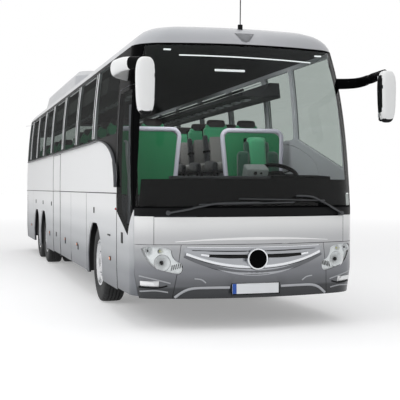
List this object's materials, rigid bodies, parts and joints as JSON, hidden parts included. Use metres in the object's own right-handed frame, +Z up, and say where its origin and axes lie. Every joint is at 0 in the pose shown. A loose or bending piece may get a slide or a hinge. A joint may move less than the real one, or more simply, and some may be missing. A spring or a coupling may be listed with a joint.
{
  "type": "three-axle coach bus",
  "caption": "Full-size touring coach on three axles with passenger doors, luggage flaps, roof pod and arm mirrors.",
  "frame": {"origin": "on the ground, midway along the length over the mirrors, on the centreline", "axes": "+X towards the driver's side, +Y towards the rear, +Z up"},
  "size_m": [2.95, 13.715, 3.6799],
  "materials": {
    "black_paint": "gloss black band paint",
    "cast_steel": "painted casting",
    "chrome_trim": "bright chromed plastic",
    "clear_glass": "clear laminated glass",
    "dark_plastic": "grained moulded plastic",
    "floor_vinyl": "sheet vinyl",
    "frame_steel": "satin black chassis paint",
    "grey_plastic": "light grey moulded plastic",
    "lamp_chrome": "vacuum metallised reflector",
    "lamp_red": "red acrylic",
    "mirror_white": "white moulded shell",
    "rim_metal": "polished forged aluminium",
    "rubber_black": "tyre rubber",
    "seat_fabric": "green woven plush",
    "tinted_glass": "dark tinted safety glass",
    "white_paint": "gloss white coach enamel"
  },
  "bodies": {
    "coach": {"underframe": "frame_steel", "deck": "floor_vinyl", "skirts": "white_paint", "side_panels": "white_paint", "window_bands": "black_paint", "glazing": "tinted_glass", "windscreen": "clear_glass", "cowl": "black_paint", "front_mask": "white_paint", "grille": "chrome_trim", "bumper": "white_paint", "headlamps": "lamp_chrome", "lamp_lenses": "clear_glass", "rear_wall": "white_paint", "rear_bumper": "white_paint", "tail_lamps": "lamp_red", "roof": "white_paint", "roof_pod": "white_paint", "engine": "cast_steel", "axles": "cast_steel", "passenger_seats": "seat_fabric", "driver_seat": "seat_fabric", "luggage_racks": "grey_plastic", "dashboard": "dark_plastic", "partitions": "grey_plastic", "mirror_right": "mirror_white", "mirror_left": "mirror_white", "wipers": "dark_plastic", "stairs": "floor_vinyl", "end_frames": "frame_steel", "tow_socket": "frame_steel", "hinge_rods": "frame_steel"},
    "knuckle_left": {"knuckle_left": "cast_steel"},
    "knuckle_right": {"knuckle_right": "cast_steel"},
    "wheel_front_left": {"tyre_front_left": "rubber_black", "rim_front_left": "rim_metal"},
    "wheel_front_right": {"tyre_front_right": "rubber_black", "rim_front_right": "rim_metal"},
    "wheel_drive_left": {"tyre_drive_left": "rubber_black", "rim_drive_left": "rim_metal"},
    "wheel_drive_right": {"tyre_drive_right": "rubber_black", "rim_drive_right": "rim_metal"},
    "wheel_tag_left": {"tyre_tag_left": "rubber_black", "rim_tag_left": "rim_metal"},
    "wheel_tag_right": {"tyre_tag_right": "rubber_black", "rim_tag_right": "rim_metal"},
    "front_door_arm": {"front_door_arm": "frame_steel"},
    "front_door": {"front_door": "black_paint", "front_door_glass": "tinted_glass"},
    "mid_door_arm": {"mid_door_arm": "frame_steel"},
    "mid_door": {"mid_door": "white_paint"},
    "flap_right_front": {"flap_right_front": "white_paint"},
    "flap_right_rear": {"flap_right_rear": "white_paint"},
    "flap_left_front": {"flap_left_front": "white_paint"},
    "flap_left_middle": {"flap_left_middle": "white_paint"},
    "flap_left_rear": {"flap_left_rear": "white_paint"},
    "front_flap": {"front_flap": "white_paint"},
    "engine_lid": {"engine_lid": "white_paint"}
  },
  "joints": [
    {"name": "steer_left", "type": "hinge", "parent": "coach", "child": "knuckle_left", "pos_m": [0.88, -3.4875, 0.51], "axis": [0, 0, 1], "range_deg": [-40, 40]},
    {"name": "steer_right", "type": "hinge", "parent": "coach", "child": "knuckle_right", "pos_m": [-0.88, -3.4875, 0.51], "axis": [0, 0, 1], "range_deg": [-40, 40]},
    {"name": "spin_front_left", "type": "hinge", "parent": "knuckle_left", "child": "wheel_front_left", "pos_m": [1.07, -3.4875, 0.51], "axis": [1, 0, 0], "continuous": true},
    {"name": "spin_front_right", "type": "hinge", "parent": "knuckle_right", "child": "wheel_front_right", "pos_m": [-1.07, -3.4875, 0.51], "axis": [1, 0, 0], "continuous": true},
    {"name": "spin_drive_left", "type": "hinge", "parent": "coach", "child": "wheel_drive_left", "pos_m": [1.07, 2.8525, 0.51], "axis": [1, 0, 0], "continuous": true},
    {"name": "spin_drive_right", "type": "hinge", "parent": "coach", "child": "wheel_drive_right", "pos_m": [-1.07, 2.8525, 0.51], "axis": [1, 0, 0], "continuous": true},
    {"name": "spin_tag_left", "type": "hinge", "parent": "coach", "child": "wheel_tag_left", "pos_m": [1.07, 4.2025, 0.51], "axis": [1, 0, 0], "continuous": true},
    {"name": "spin_tag_right", "type": "hinge", "parent": "coach", "child": "wheel_tag_right", "pos_m": [-1.07, 4.2025, 0.51], "axis": [1, 0, 0], "continuous": true},
    {"name": "front_door_swing", "type": "hinge", "parent": "coach", "child": "front_door_arm", "pos_m": [-1.17, -5.8025, 1], "axis": [0, 0, 1], "range_deg": [0, 150]},
    {"name": "front_door_leaf", "type": "hinge", "parent": "front_door_arm", "child": "front_door", "pos_m": [-1.17, -5.3625, 1], "axis": [0, 0, -1], "range_deg": [0, 150]},
    {"name": "mid_door_swing", "type": "hinge", "parent": "coach", "child": "mid_door_arm", "pos_m": [-1.17, 1.0175, 1], "axis": [0, 0, -1], "range_deg": [0, 150]},
    {"name": "mid_door_leaf", "type": "hinge", "parent": "mid_door_arm", "child": "mid_door", "pos_m": [-1.17, 0.5775, 1], "axis": [0, 0, 1], "range_deg": [0, 150]},
    {"name": "flap_right_front_lift", "type": "hinge", "parent": "coach", "child": "flap_right_front", "pos_m": [-1.275, -2.007, 1.43], "axis": [0, 1, 0], "range_deg": [0, 85]},
    {"name": "flap_right_rear_lift", "type": "hinge", "parent": "coach", "child": "flap_right_rear", "pos_m": [-1.275, -0.565, 1.43], "axis": [0, 1, 0], "range_deg": [0, 85]},
    {"name": "flap_left_front_lift", "type": "hinge", "parent": "coach", "child": "flap_left_front", "pos_m": [1.275, -2.007, 1.43], "axis": [0, -1, 0], "range_deg": [0, 85]},
    {"name": "flap_left_middle_lift", "type": "hinge", "parent": "coach", "child": "flap_left_middle", "pos_m": [1.275, -0.4325, 1.43], "axis": [0, -1, 0], "range_deg": [0, 85]},
    {"name": "flap_left_rear_lift", "type": "hinge", "parent": "coach", "child": "flap_left_rear", "pos_m": [1.275, 1.202, 1.43], "axis": [0, -1, 0], "range_deg": [0, 85]},
    {"name": "front_flap_lift", "type": "hinge", "parent": "coach", "child": "front_flap", "pos_m": [0, -6.2532, 1.193], "axis": [-1, 0, 0], "range_deg": [0, 75]},
    {"name": "engine_lid_lift", "type": "hinge", "parent": "coach", "child": "engine_lid", "pos_m": [0, 6.8403, 1.956], "axis": [1, 0, 0], "range_deg": [0, 75]}
  ],
  "couplings": [
    {"joint": "steer_right", "follows": "steer_left", "ratio": 1},
    {"joint": "front_door_leaf", "follows": "front_door_swing", "ratio": 1},
    {"joint": "mid_door_leaf", "follows": "mid_door_swing", "ratio": 1}
  ]
}
